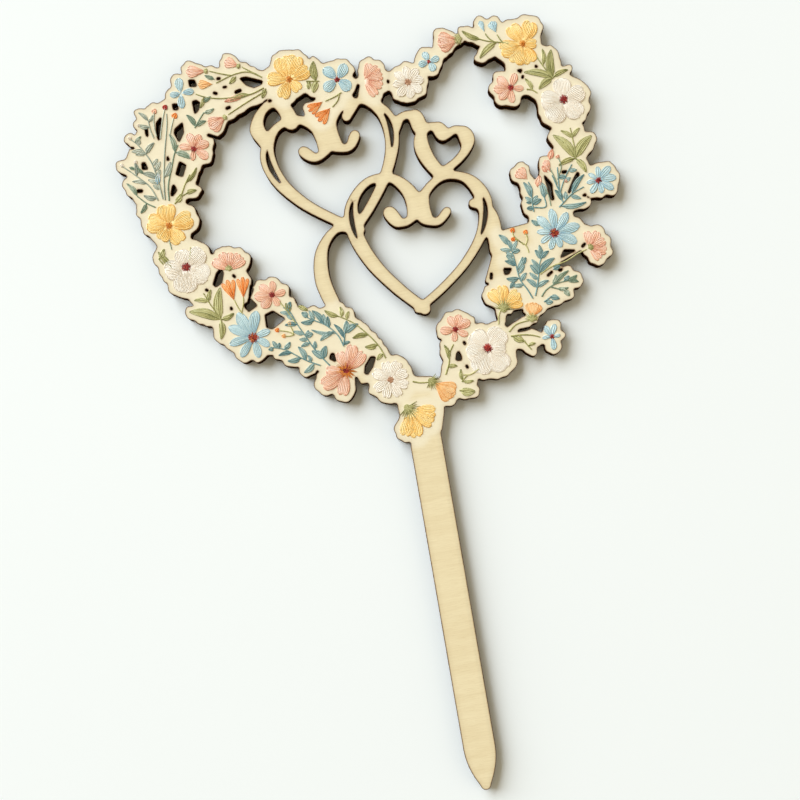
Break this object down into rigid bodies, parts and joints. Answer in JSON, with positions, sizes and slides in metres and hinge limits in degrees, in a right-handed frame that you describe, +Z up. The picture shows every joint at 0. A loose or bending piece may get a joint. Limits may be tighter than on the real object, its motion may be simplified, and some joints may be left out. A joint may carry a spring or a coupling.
{
  "type": "cake topper",
  "caption": "Flat laser-cut plywood cake topper: a printed floral heart wreath round open heart scrolls, on one long stake that is pushed into a cake.",
  "frame": {"origin": "middle of the stake, at mid thickness, where it meets the top of the cake", "axes": "+Z up along the stake, +X to the right seen from the front, the printed front faces -Y"},
  "size_m": [0.1304, 0.0033, 0.2026],
  "materials": {
    "veneer": "pale sanded veneer, fine grain across the topper, matt",
    "core_wood": "laser-burnt cut walls, dark brown, matt",
    "ink_yellow": "cured print, warm yellow, satin",
    "ink_coral": "cured print, coral pink, satin",
    "ink_blue": "cured print, pale blue, satin",
    "ink_white": "cured print, warm white, satin",
    "ink_peach": "cured print, peach, satin",
    "ink_orange": "cured print, orange, satin",
    "ink_teal": "cured print, teal, satin",
    "ink_sage": "cured print, sage green, satin",
    "ink_olive": "cured print, olive green, satin"
  },
  "bodies": {
    "root": {"ply_core": "core_wood", "ply_front": "veneer", "ply_back": "veneer", "blossom_yellow_left": "ink_yellow", "blossom_coral_left": "ink_coral", "blossom_blue_cross": "ink_blue", "blossom_yellow_top": "ink_yellow", "blossom_blue_top": "ink_blue", "blossom_white_daisy": "ink_white", "blossom_blue_small": "ink_blue", "blossom_yellow_right": "ink_yellow", "blossom_coral_right": "ink_coral", "blossom_white_right": "ink_white", "blossom_blue_edge": "ink_blue", "blossom_blue_right": "ink_blue", "blossom_blue_low": "ink_blue", "blossom_white_low": "ink_white", "blossom_coral_low": "ink_coral", "blossom_cosmos_low": "ink_white", "blossom_coral_cosmos": "ink_coral", "blossom_blue_left": "ink_blue", "blossom_white_left": "ink_white", "blossom_coral_side": "ink_coral", "fan_pink_left": "ink_coral", "fan_pink_top": "ink_coral", "fan_pink_edge": "ink_coral", "cup_yellow_right": "ink_yellow", "cup_yellow_neck": "ink_yellow", "bud_pink_top_left": "ink_coral", "bud_pink_top": "ink_coral", "bud_peach_top": "ink_peach", "bell_pink_left": "ink_coral", "bell_pink_top": "ink_coral", "bud_orange_upper": "ink_orange", "bud_orange_lower": "ink_orange", "bud_orange_left": "ink_orange", "bud_orange_side": "ink_orange", "bud_blue_wide": "ink_blue", "bud_pink_right": "ink_coral", "bud_peach_low": "ink_peach", "bell_peach_neck": "ink_peach", "sprig_left_inner": "ink_sage", "sprig_left_mid": "ink_sage", "sprig_left_outer": "ink_sage", "stalks_top_left": "ink_olive", "leaves_yellow_top": "ink_olive", "sprig_blue_buds": "ink_olive", "leaves_top_right": "ink_olive", "leaves_right": "ink_olive", "sprig_right_upper": "ink_teal", "sprig_right_bud": "ink_teal", "sprig_right_teal": "ink_teal", "sprig_right_deep": "ink_teal", "sprig_right_fan": "ink_sage", "leaf_neck": "ink_olive", "sprig_low_olive": "ink_olive", "sprig_low_teal": "ink_teal", "sprig_low_left": "ink_teal", "sprig_low_edge": "ink_teal", "leaves_left_low": "ink_olive"}
  },
  "joints": []
}
